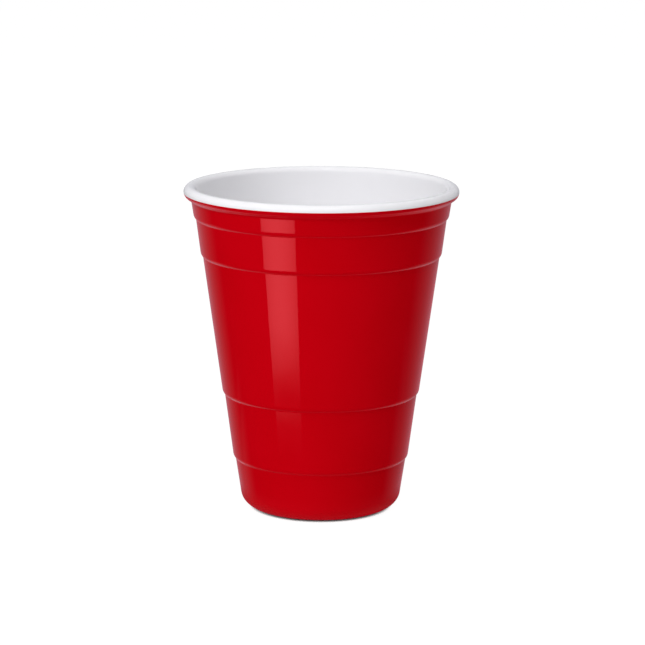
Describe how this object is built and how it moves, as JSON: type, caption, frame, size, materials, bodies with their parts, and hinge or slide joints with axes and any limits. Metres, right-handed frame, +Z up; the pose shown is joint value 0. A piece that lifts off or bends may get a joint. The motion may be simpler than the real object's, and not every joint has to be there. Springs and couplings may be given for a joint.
{
  "type": "party cup",
  "caption": "Tapered two-colour drinking cup with a stepped outer wall, a rounded rolled lip and a smooth open inside.",
  "frame": {"origin": "centre of the base, on the plane the cup stands on", "axes": "+Z up along the cup's axis, from the base to the open mouth; the cup is round, so X and Y are free"},
  "size_m": [0.095, 0.095, 0.1136],
  "materials": {
    "red_shell": "smooth gloss, deep red",
    "white_lining": "smooth gloss, white"
  },
  "bodies": {
    "root": {"outer_shell": "red_shell", "inner_liner": "white_lining"}
  },
  "joints": []
}
